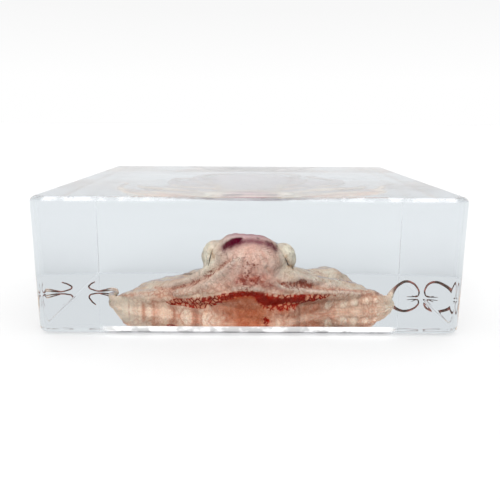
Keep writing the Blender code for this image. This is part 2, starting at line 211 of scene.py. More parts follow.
# Pale ridges and brown valleys of the skin, the valleys' brown partly painted shade: x, y, z and width
PALE_LINES = {
    "ridge_left": [
        (-5.2, -25.9, 13.2, 0.4), (-6.1, -25.4, 12.3, 0.45), (-7.2, -24.8, 10.8, 0.5),
        (-8.6, -23.3, 9.4, 0.5), (-9.4, -22.2, 8.3, 0.5), (-11.2, -20.5, 7.4, 0.5), (-13.7, -18.1, 6.4, 0.45),
        (-16.4, -15.5, 5.2, 0.4),
    ],
    "rim_left": [
        (-1.9, -28.4, 13, 0.35), (-3.3, -27.7, 11.7, 0.4), (-4.4, -26.4, 10.3, 0.45), (-6.3, -25.1, 8.7, 0.5),
        (-7.7, -24.8, 7.4, 0.5), (-9.6, -23, 6.3, 0.5), (-11.1, -22.3, 5.3, 0.45), (-13.1, -21, 4.7, 0.4),
        (-16.2, -18.4, 4, 0.35), (-19.2, -16.8, 3.6, 0.35), (-22.4, -14.6, 3.2, 0.35),
    ],
    "inner_left": [
        (-1.5, -27.8, 13.8, 0.3), (-2, -28.4, 12, 0.35), (-2.4, -27.9, 10.1, 0.35), (-3.1, -27.4, 8.5, 0.3),
    ],
    "inner_right": [
        (1.6, -27.6, 14.2, 0.3), (2.3, -28.2, 12.8, 0.35), (3.1, -27.8, 10.9, 0.35), (3.8, -26.5, 9.2, 0.35),
        (4.8, -26, 7.8, 0.35),
    ],
    "ridge_right": [
        (5, -26.1, 7.5, 0.4), (6.3, -25.4, 6.9, 0.4), (9.6, -22.9, 6.1, 0.4), (13.6, -20.1, 5.3, 0.4),
        (17.7, -16.8, 4.5, 0.4), (22, -13.5, 3.8, 0.35),
    ],
    "shoulder_right": [
        (5.9, -24.9, 13.1, 0.4), (6.6, -24.2, 11.5, 0.45), (7.8, -23.2, 10, 0.5), (9.4, -22.5, 8.4, 0.5),
        (11.6, -20.2, 7.3, 0.5), (14.1, -17.3, 6.2, 0.45), (16.8, -15.5, 5.6, 0.4),
    ],
    "rim_middle": [
        (-5, -26.3, 6, 0.3), (-3.7, -27, 6.5, 0.35), (-1.6, -27.8, 6.9, 0.4), (0.2, -28.1, 7.1, 0.4),
        (1.7, -28, 6.9, 0.4), (3.1, -27.5, 6.5, 0.35), (4.8, -26.4, 6, 0.3),
    ],
}
FAINT_LINES = ("inner_left", "inner_right", "rim_middle", "ridge_right")
VALLEYS = {
    "left": [
        (-3.4, -27, 12, 0.35), (-4.4, -25.8, 11, 0.7), (-5.9, -24.3, 9.7, 0.9), (-7.4, -24.1, 8.8, 0.9),
        (-9.2, -22.2, 7.5, 0.9), (-11.2, -20.1, 6.4, 0.9), (-13.7, -17.6, 5.4, 0.8), (-16.4, -15.8, 4.6, 0.7),
        (-18.3, -14, 4.7, 0.5),
    ],
    "right": [
        (5, -25.8, 8, 0.4), (6.3, -25.2, 7.4, 0.5), (8, -24.2, 7.1, 0.6), (10, -21.5, 7, 0.8),
        (11.4, -20.2, 6.4, 0.8), (14.7, -16.9, 6.1, 0.4),
    ],
    "right_long": [
        (12.6, -19.6, 6, 0.35), (14.4, -18.2, 5.5, 0.35), (17.2, -15.8, 4.9, 0.35), (20.6, -13.6, 4.2, 0.3),
        (24, -10.6, 3.6, 0.25),
    ],
    "groove_right": [
        (3.2, -27.5, 10.8, 0.3), (3.7, -26.8, 9.8, 0.35), (4.2, -26.1, 8.8, 0.4), (5.2, -24.8, 7.6, 0.4),
    ],
}

# The dark slits of the eyes: x, y, z and radius
EYE_SLITS = {
    "slit_left": [
        (-6.6, -23.9, 14.3, 0.03), (-7.1, -24.5, 13.3, 0.06), (-7.5, -24.8, 12, 0.12),
        (-7.9, -24.5, 10.9, 0.05),
    ],
    "slit_left_near": [(-8.3, -24, 12.6, 0.03), (-8.25, -24.3, 11.6, 0.06), (-8.2, -24.2, 10.9, 0.03)],
    "slit_right": [
        (6.4, -23.8, 13, 0.04), (6.8, -23.8, 11.9, 0.13), (7.2, -23.4, 10.9, 0.15), (8.3, -21.8, 9.9, 0.06),
    ],
}

# Suckers on the skin below the rim, facing forward: centre and radius
SUCKERS = [
    (-12.2, -20.4, 0.1, 1.45), (-7.9, -23, 0.6, 1.15), (-16.8, -17.4, 2.3, 0.6), (-19.6, -15.6, 2.2, 0.6),
    (-22.4, -14, 2.2, 0.55), (-14.2, -19.2, 2.3, 0.5), (15.8, -16.2, 2, 1.2), (18.6, -14, 1.8, 0.95),
    (20.9, -13.3, 1.9, 0.9), (23.3, -12.3, 2, 0.8), (25.4, -11.4, 2, 0.6),
]
# Painted shade in the gaps between the foot's suckers: base point and width
FOOT_GAPS = [
    (-20.8, -14.6, 0.4), (-18.7, -15.1, 0.2), (-14.4, -18, 0.5), (-10, -21.4, 0.75), (-23.9, -12.2, 0.2),
]

# Lines on the skin with a colour laid along them, some of them painted shade: x, y, z and width
MARKS = {
    "arch": [
        (-15.8, -16.8, 2.4, 0.5), (-13.3, -19.1, 2.7, 1.15), (-11.3, -20.5, 2.9, 1.45),
        (-9.6, -22.3, 3.2, 1.45), (-8, -23.8, 3.6, 1.3), (-6.5, -25.2, 4.2, 1.1), (-5, -26.3, 4.8, 0.9),
        (-3.5, -26.8, 5.4, 0.75), (-2, -27.3, 5.8, 0.6), (-0.5, -27.5, 5.9, 0.6), (0.9, -27.7, 5.9, 0.65),
        (2, -27.4, 5.4, 1), (2.8, -27, 4.9, 1.3), (3.5, -26.5, 4.2, 1.45), (5, -25.7, 4.1, 1.5),
        (6.6, -24.8, 3.9, 1.45), (8.1, -23.7, 3.8, 1.45), (9.6, -23.1, 3.9, 1.45), (10.8, -22.2, 3.9, 1.1),
        (12.8, -20.7, 4.1, 0.7), (15.4, -18.7, 4, 0.45), (18, -16.6, 3.6, 0.25),
    ],
    "core": [
        (-5, -26.3, 4.9, 0.35), (-3.5, -26.8, 5.4, 0.42), (-2, -27.3, 5.8, 0.42), (0.9, -27.7, 5.9, 0.46),
        (2.4, -27.3, 5.3, 0.8), (3.5, -26.5, 4.2, 0.9), (5, -25.7, 4.3, 0.8), (6.6, -24.9, 4.3, 0.6),
        (9.6, -23.1, 4.2, 0.7),
    ],
    "warm": [
        (-2.4, -27.4, 8, 0.9), (-1.3, -27.8, 8.4, 1.3), (0.6, -28, 8.3, 1.4), (2.4, -27.6, 8.5, 1.4),
        (3.1, -27, 7.6, 1.3), (4.8, -26.3, 7.1, 0.9), (6.5, -25.3, 6.3, 0.6),
    ],
    "speckle_middle": [(0.2, -27.8, 13.4, 0.6), (0.2, -28.4, 11, 1.4), (0.2, -28.2, 7.4, 3)],
    "speckle_right": [
        (6.3, -25.2, 7.3, 0.4), (8, -24.2, 7.1, 0.6), (10, -21.5, 6.9, 1.1), (11.4, -20.2, 6.4, 0.9),
    ],
    "speckle_far_right": [(12.5, -20, 4.8, 0.5), (18, -16, 4, 0.5), (24, -11, 3, 0.5)],
    "rust": [
        (-4.4, -26.6, 4.4, 0.75), (-2.4, -27, 5.2, 0.75), (-1, -27.3, 5.4, 0.75), (0.6, -27.4, 5.4, 0.75),
        (1.9, -27.3, 4.8, 0.75),
    ],
    "magenta": [
        (-1.6, -25.2, 15.9, 0.5), (-2.3, -25.6, 15.6, 0.95), (-3.3, -25.8, 15.2, 1), (-4.4, -25.8, 14.6, 0.7),
    ],
    "magenta_right": [(3.5, -24.9, 15.2, 0.7), (4.2, -24.9, 14.7, 0.9), (4.7, -25, 14.2, 0.8)],
    "plum": [
        (-4.6, -25.9, 14.4, 1), (-2.9, -26.1, 14.9, 1.1), (-1.3, -25.9, 15.2, 1), (0.3, -25.9, 15.4, 0.9),
        (2.3, -25.8, 15.1, 1.1), (4.4, -25.2, 14.4, 1.2),
    ],
    # Darker along the right valley: partly the skin's own colour, partly painted shade
    "right_valley_dark": [
        (4.8, -26, 7.5, 0.25), (6.3, -25.2, 7.4, 0.3), (8, -24.2, 7.1, 0.4), (10, -21.7, 7, 0.95),
        (11.6, -20, 6.4, 0.7),
    ],
    "lid_left": [
        (-7, -24.4, 13.7, 0.4), (-6.7, -25, 12.7, 0.5), (-7.4, -24.9, 12.1, 0.4), (-7.8, -24.6, 11.1, 0.3),
    ],
    "lid_right": [
        (6.6, -23.8, 12.6, 0.4), (7.1, -23.6, 11.4, 0.6), (7.6, -23, 10.6, 0.7), (8.3, -21.8, 10, 0.5),
    ],
    "gap_shade": [
        (11.2, -20.6, 0.9, 0.22), (13, -19, 0.6, 0.22), (14.2, -17.8, 0.2, 0.22), (15.5, -16.4, 0.3, 0.22),
        (18.5, -14.8, 0.9, 0.22),
    ],
    # A thin line of painted shade along a fold on the left
    "dark": [
        (-13, -10.4, 6.9, 0.28), (-11.7, -12.3, 7.3, 0.28), (-9.9, -17, 8.4, 0.28), (-9.1, -18.5, 8.8, 0.28),
    ],
}

# Soft spots on the skin: centre and sizes
SPOTS = {
    "head": ((0, -23, 12.5), (7, 6, 4.5)),
    "face": ((0.2, -27, 11), (6.6, 5, 5.6)),
    "face_low": ((-2.6, -24.6, 7.4), (10, 5, 2.9)),
    "arch_foot": ((3.2, -27, 0.7), (0.6, 1.2, 0.8)),
    "dome": ((0.1, -27, 1.4), (4.3, 3.4, 3.6)),
    "stain": ((-0.2, -26.4, 2.6), (7.4, 5, 3.8)),
    "stain_right": ((10.5, -21.8, 2), (9.5, 7, 2.6)),
    "plum_top": ((0.6, -22.2, 16.9), (4.6, 1.8, 1.5)),
    "crown": ((0.2, -22.5, 16.9), (5.5, 4.5, 1.8)),
    "cream_left": ((-7.8, -23, 12.2), (2.2, 3, 3.6)),
    "cream_right": ((7.4, -21.8, 12), (2, 2.8, 3.2)),
}
DARK_SPOTS = [
    (1.6, -24.8, 15.9), (5.1, -23.7, 14.4), (8.1, -22.1, 10.1), (2.5, -26.6, 0.7), (-15.3, -17.9, 1.7),
]
DARK_SPOT_SIZES = (0.32, 0.5, 0.32)

# Heights of the skin's relief
VALLEY_DEPTH = 0.4
SLIT_DEPTH = 0.18
RIM_HEIGHT = 0.12
RIDGE_HEIGHT = 0.3
FAINT_HEIGHT = 0.1

# The middle of the face's fan, and how much finer the arms' fine streaks are
FAN_X = 0.2
FAN_Z = 18.5
FINE_STREAKS = (2.3, 1.8, 2.3)

# A small sucker from its foot to its cup: share of the radius, height in radii, and how much painted shade
# darkens its hollow
SUCKER_PROFILE = [
    (1.05, -0.4, 0), (1, 0.12, 0), (0.85, 0.3, 0), (0.62, 0.26, 0.2), (0.4, 0.06, 1), (0.15, 0, 0.8),
]
SUCKER_SIDES = 14
# Its radius as a share of its arm's, and the distance from one to the next in radii
SUCKER_SHARE = 0.34
SUCKER_SPACING = 2.3
# Where the skin's pale colour ends on the arm tips, across from the middle, and how deep the eye slits lie
TIP_ROOT_END = (30.2, 31.4)
SLIT_SINK = 0.03

# The camera: its place in metres, its lens and film in millimetres, and its turns in degrees
CAMERA_PLACE = (0.0, -0.14384, 0.03696)
LENS = 45.86
SENSOR_WIDTH = 36.0
TILT = -11.45
PAN = -0.078
ROLL = 0.273

# The studio: half the floor's width in metres, the world's strength below and above a low horizon, and the
# lamps, with where each shines and how strongly
FLOOR_SIZE = 6.0
HORIZON = (0.06, 0.16)
WORLD_STRENGTH = (1.0, 0.94)
LAMP_ANGLE = 40.0
LAMPS = {
    "overhead": ((-0.1, 0.35, -1.0), 1.55),
    "front_fill": ((0.25, 1.0, -0.35), 1.6),
}
BOUNCES = 96

# Settings that materials share: a texture's kind, and how little the skin shines
EDGES = "DISTANCE_TO_EDGE"
DULL = 0.03


# Materials

class Nodes:
    """A material's node tree, with short calls for the nodes that these materials use."""

    def __init__(self, name):
        self.material = bpy.data.materials.new(name)
        self.material.use_nodes = True
        self.tree = self.material.node_tree
        self.shader = self.tree.nodes["Principled BSDF"]
        self.place = self.add("ShaderNodeTexCoord").outputs["Object"]

    def add(self, kind, **settings):
        node = self.tree.nodes.new(kind)
        for key, value in settings.items():
            setattr(node, key, value)
        return node

    def feed(self, socket, value):
        """Sets a socket to a number or colour, or links it to another node's output."""
        if isinstance(value, bpy.types.NodeSocket):
            self.tree.links.new(value, socket)
        elif isinstance(value, tuple) and len(value) == 3 and socket.type == "RGBA":
            socket.default_value = (*value, 1.0)
        else:
            socket.default_value = value

    def surface(self, colour, roughness, normal=None):
        values = {"Base Color": colour, "Roughness": roughness, "Normal": normal}
        for name, value in values.items():
            if value is not None:
                self.feed(self.shader.inputs[name], value)

    def mask(self, name):
        return self.add("ShaderNodeAttribute", attribute_name=name).outputs["Fac"]

    def maths(self, operation, first, second=0.0, clamp=False):
        node = self.add("ShaderNodeMath", operation=operation, use_clamp=clamp)
        self.feed(node.inputs[0], first)
        self.feed(node.inputs[1], second)
        return node.outputs[0]

    def times(self, first, second):
        return self.maths("MULTIPLY", first, second)

    def ramp(self, value, low, high, out_low=0.0, out_high=1.0):
        """The value taken from the range low to high into another range, smoothly and clamped."""
        node = self.add("ShaderNodeMapRange", interpolation_type="SMOOTHSTEP", clamp=True)
        for socket, number in zip(node.inputs, (value, low, high, out_low, out_high)):
            self.feed(socket, number)
        return node.outputs[0]

    def mix(self, share, first, second, blend="MIX"):
        node = self.add("ShaderNodeMix", data_type="RGBA", blend_type=blend)
        self.feed(node.inputs[0], share)
        self.feed(node.inputs[6], first)
        self.feed(node.inputs[7], second)
        return node.outputs[2]

    def blend(self, value, low, high, first, second):
        """One colour where the value is low, and the other where it is high."""
        return self.mix(self.ramp(value, low, high), first, second)

    def grey(self, value):
        node = self.add("ShaderNodeCombineColor")
        for socket in node.inputs:
            self.feed(socket, value)
        return node.outputs[0]

    def noise(self, size, detail=3.0, roughness=0.55, distortion=0.0):
        """Cloudy noise with features of about that size in millimetres, from 0 to 1."""
        node = self.add("ShaderNodeTexNoise")
        self.feed(node.inputs["Vector"], self.place)
        self.feed(node.inputs["Scale"], 1.0 / (size * MM))
        self.feed(node.inputs["Detail"], detail)
        self.feed(node.inputs["Roughness"], roughness)
        self.feed(node.inputs["Distortion"], distortion)
        return node.outputs["Fac"]

    def cells(self, size, feature="F1", jitter=1.0):
        """Distance in cells of that size in millimetres: to the cell's point, or to its edge."""
        node = self.add("ShaderNodeTexVoronoi", feature=feature)
        self.feed(node.inputs["Vector"], self.place)
        self.feed(node.inputs["Scale"], 1.0 / (size * MM))
        self.feed(node.inputs["Randomness"], jitter)
        return node.outputs["Distance"]

    def bump(self, height, depth, normal=None):
        """Relief of that depth in millimetres."""
        node = self.add("ShaderNodeBump")
        self.feed(node.inputs["Height"], height)
        self.feed(node.inputs["Distance"], depth * MM)
        if normal is not None:
            self.feed(node.inputs["Normal"], normal)
        return node.outputs["Normal"]


# Colours above the rim
BEIGE = (0.66, 0.59, 0.485)
SAND = (0.58, 0.39, 0.285)
UMBER = (0.5, 0.21, 0.14)
LILAC = (0.72, 0.43, 0.34)
LIGHT_LILAC = (0.8, 0.57, 0.47)
FAN_DARK = (0.58, 0.29, 0.215)
FAN_LIGHT = (0.8, 0.58, 0.47)
FLUSH = (0.72, 0.37, 0.285)
FLUSH_RED = (0.43, 0.105, 0.065)
FLUSH_NET = (0.36, 0.085, 0.055)
HEM = (0.66, 0.42, 0.305)
HEM_NET = (0.4, 0.14, 0.085)
PALE = (0.77, 0.61, 0.5)
RIGHT_VALLEY_DARK = (0.21, 0.032, 0.017)
VEIN = (0.27, 0.13, 0.1)
# Colours below the rim
PEACH = (0.88, 0.65, 0.49)
PINK = (0.64, 0.31, 0.21)
STAIN = (0.46, 0.165, 0.085)
SEAM = (0.28, 0.05, 0.02)
CALM = (0.7, 0.48, 0.355)
CALM_DARK = (0.58, 0.375, 0.27)
BONE = (0.86, 0.71, 0.56)
BONE_DARK = (0.72, 0.5, 0.37)
GAP_SHADE = (0.5, 0.22, 0.14)
DISC = (0.89, 0.7, 0.54)
DISC_DARK = (0.8, 0.54, 0.4)
TAN = (0.44, 0.115, 0.052)
TAN_DARK = (0.42, 0.12, 0.05)
TAN_LIGHT = (0.55, 0.2, 0.1)
RUST = (0.34, 0.045, 0.01)
RUST_LIGHT = (0.42, 0.085, 0.02)
THREAD = (0.5, 0.15, 0.08)
THREAD_PALE = (0.6, 0.36, 0.24)
# Colours of the arch, its dark red partly painted shade of the web's inside
ARCH_GROUND = (0.76, 0.24, 0.115)
ARCH_RED = (0.42, 0.014, 0.003)
ARCH_DARK = (0.18, 0.003, 0.0)
ARCH_CORE_SHADE = (0.18, 0.002, 0.0)
# Colours of the back, the top and the head
SLATE = (0.33, 0.3, 0.335)
SLATE_LIGHT = (0.5, 0.45, 0.46)
SLATE_WARM = (0.52, 0.4, 0.36)
SLATE_SPOT = (0.22, 0.17, 0.19)
TOP = (0.4, 0.36, 0.4)
TOP_LIGHT = (0.5, 0.46, 0.48)
CROWN_PINK = (0.69, 0.43, 0.45)
BLUSH = (0.3, 0.12, 0.15)
PLUM = (0.17, 0.025, 0.048)
MAGENTA = (0.085, 0.0, 0.012)
CREAM = (0.86, 0.78, 0.63)
CREAM_DARK = (0.58, 0.5, 0.38)
LID = (0.42, 0.25, 0.14)
# Colours of the speckles, and of the smallest dark marks and a thin line of painted shade along a fold
BROWN = (0.23, 0.05, 0.028)
WARM_BROWN = (0.24, 0.02, 0.015)
FOLD_SHADE_AND_SPOTS = (0.08, 0.04, 0.035)


class Skin(Nodes):
    """The skin's nodes, with the noises that its layers of colour share."""

    def __init__(self):
        super().__init__("octopus_skin")
        self.cloud = self.noise(5.0, 4.0)
        self.patch = self.noise(2.2, 4.0, 0.6)
        self.fine = self.noise(0.9, 4.0, 0.65)
        self.grain = self.noise(0.35, 3.0, 0.6)
        self.net = self.ramp(self.cells(1.05, EDGES, 0.9), 0.04, 0.2, 1.0, 0.0)

    def masked(self, name, value):
        """A mask thinned out by a value."""
        return self.times(self.mask(name), value)

    def ragged(self, name, low, high):
        """A mask with the fine noise, from low to high, added to it."""
        return self.maths("ADD", self.mask(name), self.ramp(self.fine, 0.3, 0.7, low, high))

    def layers(self, colour, *layers):
        """The colour with others laid over it in turn, each by its share."""
        for share, over in layers:
            colour = self.mix(share, colour, over)
        return colour

    def scaled(self, colour, value):
        """The colour made darker or lighter by a value."""
        return self.mix(1.0, colour, self.grey(value), "MULTIPLY")


def upper_skin(n):
    """The skin above the rim: beige arms, a lilac face with a warm flush, and a netted hem."""
    fan, patch, fine = n.mask("fan"), n.patch, n.fine
    lilac = n.layers(
        n.mix(n.ramp(patch, 0.35, 0.65, 0.0, 0.7), LILAC, LIGHT_LILAC),
        (n.ramp(fan, 0.5, 0.85, 0.0, 0.45), FAN_DARK),
        (n.ramp(fan, 0.1, 0.45, 0.55, 0.0), FAN_LIGHT),
    )
    flush = n.blend(n.noise(1.1, 3.0, 0.6, 0.6), 0.46, 0.6, FLUSH, FLUSH_RED)
    warm_net = n.masked("warm", n.ramp(n.cells(1.2, EDGES), 0.05, 0.24, 1.0, 0.0))
    off_middle = n.maths("ABSOLUTE", n.maths("SUBTRACT", n.noise(2.6, 3.0, 0.6, 0.4), 0.5))
    veins = n.times(n.ramp(off_middle, 0.0, 0.035, 1.0, 0.0),
                    n.ramp(n.noise(4.0, 2.0), 0.45, 0.62, 0.0, 0.55))
    return n.layers(
        n.mix(n.ramp(n.cloud, 0.35, 0.65, 0.0, 0.7), BEIGE, SAND),
        (n.ramp(n.mask("streaks"), 0.45, 0.8, 0.0, 0.6), SAND),
        (n.mask("face"), lilac),
        (n.masked("warm", n.ramp(patch, 0.35, 0.6, 0.45, 1.0)), flush),
        (n.times(warm_net, n.ramp(patch, 0.3, 0.6, 0.15, 0.7)), FLUSH_NET),
        # Brown along the valleys: partly the skin's own brown, partly painted shade
        (n.masked("valley_brown_and_shade", n.ramp(fine, 0.3, 0.6, 0.5, 1.0)), UMBER),
        (n.masked("hem", n.ramp(patch, 0.3, 0.65, 0.45, 0.95)), HEM),
        (n.masked("hem", n.times(n.net, 0.62)), HEM_NET),
        (n.masked("pale", n.ramp(fine, 0.2, 0.6, 0.6, 1.0)), PALE),
        # Darker along the right valley: partly the skin's own colour, partly painted shade
        (n.masked("right_valley_dark", n.ramp(n.noise(0.8, 3.0, 0.6), 0.38, 0.56, 0.25, 1.0)), RIGHT_VALLEY_DARK),
        (veins, VEIN),
    )


def lower_skin(n):
    """The skin below the rim: peach suckers with painted shade between and round them, a stained middle, a
    tan dome and red threads.
    """
    patch, fine = n.patch, n.fine
    tan = n.layers(
        n.mix(n.ramp(fine, 0.42, 0.68, 0.0, 0.6), TAN, TAN_DARK),
        (n.ramp(n.noise(1.3, 3.0, 0.6, 0.5), 0.44, 0.6, 0.0, 0.65), TAN_LIGHT),
    )
    seams = n.times(n.ramp(n.cells(1.4, EDGES), 0.02, 0.2, 0.45, 0.0), n.ramp(n.noise(1.1, 3.0), 0.45, 0.6))
    threads = n.times(n.net, n.ramp(n.cloud, 0.35, 0.6, 0.05, 0.35))
    return n.layers(
        n.mix(n.ramp(patch, 0.4, 0.65, 0.0, 0.8), PEACH, PINK),
        (n.masked("stain", n.ramp(n.noise(1.6, 4.0, 0.6), 0.36, 0.58, 0.55, 1.0)), STAIN),
        (n.mask("calm"), n.blend(patch, 0.4, 0.65, CALM, CALM_DARK)),
        (n.mask("ends"), n.mix(n.ramp(patch, 0.45, 0.65, 0.0, 0.6), BONE, BONE_DARK)),
        # Painted shade between the foot's suckers
        (n.masked("gap_shade", n.ramp(fine, 0.3, 0.6, 0.6, 1.0)), GAP_SHADE),
        (n.mask("sucker"), n.blend(patch, 0.4, 0.7, DISC, DISC_DARK)),
        # Painted shade in the groove round each large sucker
        (n.masked("groove_shade", 0.6), GAP_SHADE),
        (n.mask("dome"), tan),
        (n.masked("stain", seams), SEAM),
        (n.mask("rust"), n.blend(fine, 0.35, 0.65, RUST_LIGHT, RUST)),
        (threads, n.mix(n.mask("ends"), THREAD, THREAD_PALE)),
    )


def arched(n, colour):
    """Lays the red arch over the lower skin: lace on a reddish ground, solid in its core, where painted shade
    deepens the red.
    """
    worn = n.masked("arch", n.ramp(n.fine, 0.3, 0.7, 0.6, 1.4))
    solid = n.ramp(n.times(worn, n.ramp(n.patch, 0.3, 0.7, 0.7, 1.3)), 0.22, 0.5)
    lace = n.maths("MAXIMUM", n.ramp(n.cells(0.95, EDGES), 0.05, 0.23, 1.0, 0.06),
                   n.ramp(n.noise(1.0, 3.0, 0.6), 0.54, 0.62))
    core = n.ramp(n.ragged("core", -0.25, 0.25), 0.3, 0.6)
    red = n.blend(n.noise(1.4, 4.0, 0.65), 0.35, 0.65, ARCH_DARK, ARCH_RED)
    # Painted shade deepens the red in the arch's core
    red = n.mix(n.times(core, 0.55), red, ARCH_CORE_SHADE)
    red_share = n.maths("MAXIMUM", n.times(solid, lace), n.times(core, 0.95))
    return n.layers(colour, (n.times(solid, 0.6), ARCH_GROUND), (red_share, red))


def backed(n, colour):
    """Lays the mottled slate of the back and of the arms' upper sides over the skin."""
    patch, cloud = n.patch, n.cloud
    slate = n.layers(
        n.blend(patch, 0.38, 0.62, SLATE, SLATE_LIGHT),
        (n.ramp(cloud, 0.45, 0.65, 0.0, 0.55), SLATE_WARM),
        (n.ramp(n.cells(1.5), 0.18, 0.34, 0.55, 0.0), SLATE_SPOT),
    )
    return n.layers(
        colour,
        (n.masked("back", n.ramp(cloud, 0.3, 0.6, 1.0, 0.8)), slate),
        (n.mask("top"), n.blend(patch, 0.38, 0.62, TOP, TOP_LIGHT)),
    )


def crowned(n, colour):
    """Lays the head's own colours over the skin: pink crown, plum and magenta brow, cream eyes."""
    fine = n.fine
    return n.layers(
        colour,
        (n.mask("crown"), CROWN_PINK),
        (n.mask("blush"), BLUSH),
        (n.masked("plum", n.ramp(n.patch, 0.25, 0.6, 0.75, 1.0)), PLUM),
        (n.ramp(n.ragged("magenta", -0.15, 0.15), 0.06, 0.78), MAGENTA),
        (n.mask("cream"), n.blend(fine, 0.4, 0.7, CREAM, CREAM_DARK)),
        (n.masked("lids", n.ramp(fine, 0.35, 0.6, 0.4, 1.0)), LID),
    )


def speckled(n, colour):
    """Lays brown blots and specks over the skin where the speckle mask lets them through."""
    spread = n.maths("ADD", n.mask("speckle"), n.ramp(n.noise(1.8, 3.0), 0.3, 0.7, -0.35, 0.35))
    blots = n.maths("SUBTRACT", n.noise(0.6, 3.0, 0.6), n.ramp(spread, 0.0, 1.0, 0.76, 0.5))
    specks = n.maths("SUBTRACT", n.ramp(spread, 0.1, 1.0, 0.0, 0.4), n.cells(0.62))
    brown = n.mix(n.mask("warm"), BROWN, WARM_BROWN)
    return n.layers(
        colour,
        (n.ramp(blots, -0.02, 0.08, 0.0, 0.65), brown),
        (n.ramp(specks, -0.06, 0.08, 0.0, 0.6), brown),
        # The small dark spots, and the line of painted shade along a fold
        (n.mask("dark"), FOLD_SHADE_AND_SPOTS),
    )


def skin_material():
    n = Skin()
    colour = n.mix(n.mask("oral"), upper_skin(n), arched(n, lower_skin(n)))
    colour = speckled(n, crowned(n, backed(n, colour)))
    colour = n.scaled(colour, n.ramp(n.grain, 0.3, 0.75, 1.06, 0.8))
    # The sole mask lightens the skin near the base and at the right arm's end: painted light against the
    # shade there
    n.surface(n.scaled(colour, n.maths("ADD", 1.0, n.mask("sole"))), n.ramp(n.fine, 0.2, 0.8, 0.42, 0.62),
              n.bump(n.grain, 0.12, n.bump(n.fine, 0.35)))
    n.shader.inputs["Specular IOR Level"].default_value = DULL
    n.shader.inputs["Subsurface Weight"].default_value = 0.15
    n.shader.inputs["Subsurface Radius"].default_value = (1.0, 0.45, 0.3)
    n.shader.inputs["Subsurface Scale"].default_value = 0.4 * MM
    return n.material


CUP_LIGHT = (0.86, 0.62, 0.46)
CUP_DARK = (0.76, 0.47, 0.33)
CUP_HOLLOW_SHADE = (0.7, 0.42, 0.3)


def sucker_material():
    n = Nodes("sucker_skin")
    fine = n.noise(0.6, 3.0)
    colour = n.blend(fine, 0.3, 0.7, CUP_LIGHT, CUP_DARK)
    # Painted shade darkens the sucker's hollow
    colour = n.mix(n.times(n.mask("cup"), 0.55), colour, CUP_HOLLOW_SHADE)
    n.surface(colour, n.ramp(fine, 0.2, 0.8, 0.4, 0.6), n.bump(fine, 0.12))
    n.shader.inputs["Specular IOR Level"].default_value = DULL
    return n.material


TIP_BLACK = (0.055, 0.04, 0.032)
TIP_BROWN = (0.3, 0.12, 0.1)
TIP_ROOT = (0.7, 0.54, 0.44)
TIP_WORN = (0.34, 0.24, 0.19)


def tip_material():
    n = Nodes("arm_tip_skin")
    fine = n.noise(0.5, 4.0)
    dark = n.mix(n.ramp(n.noise(1.3), 0.4, 0.58), TIP_BLACK, TIP_BROWN)
    colour = n.mix(n.ramp(fine, 0.35, 0.75, 0.0, 0.35), n.mix(n.mask("root"), dark, TIP_ROOT), TIP_WORN)
    n.surface(colour, n.ramp(fine, 0.2, 0.8, 0.45, 0.65), n.bump(fine, 0.1))
    n.shader.inputs["Specular IOR Level"].default_value = DULL
    return n.material


SLIT_BLACK = (0.05, 0.035, 0.03)
SLIT_BROWN = (0.12, 0.085, 0.06)


def slit_material():
    n = Nodes("eye_slit_skin")
    fine = n.noise(0.4, 2.0)
    n.surface(n.blend(fine, 0.3, 0.7, SLIT_BLACK, SLIT_BROWN), n.ramp(fine, 0.2, 0.8, 0.4, 0.6))
    return n.material


# The resin's colours: of its faces, of its top face as painted shade, deep inside it, and in its painted
# highlight bands
RESIN = (0.745, 0.775, 0.797)
RESIN_TOP_SHADE = (0.66, 0.735, 0.8)
RESIN_DEEP = (0.0, 0.4, 0.6)
HIGHLIGHT_GREY = (0.42, 0.42, 0.44)
HIGHLIGHT_WHITE = (1.0, 1.0, 1.0)
TOP_EDGE_HIGHLIGHT = (0.8, 0.81, 0.83)
# Where the painted highlight bands along the front's base and top edges fade in and out: in height, in depth
# and across from the middle, and where the smears on the top face begin
BASE_BAND_FOOT = (0.01, 0.04)
BASE_BAND_TOP = (1.5, 1.8)
BASE_BAND_REAR = (-34.5, -34.0)
BASE_BAND_END = (24.0, 26.5)
TOP_BAND_FOOT = (23.45, 23.9)
TOP_BAND_REAR = (-36.9, -36.4)
TOP_BAND_THICKER = (6.0, 24.0)
TOP_BAND_END = (34.6, 35.3)
WHITER_ABOVE = (0.45, 0.75)
TOP_FACE = (24.3, 24.38)
TOP_SMEARS = (BLOCK_HEIGHT - 0.3, BLOCK_HEIGHT - 0.02)


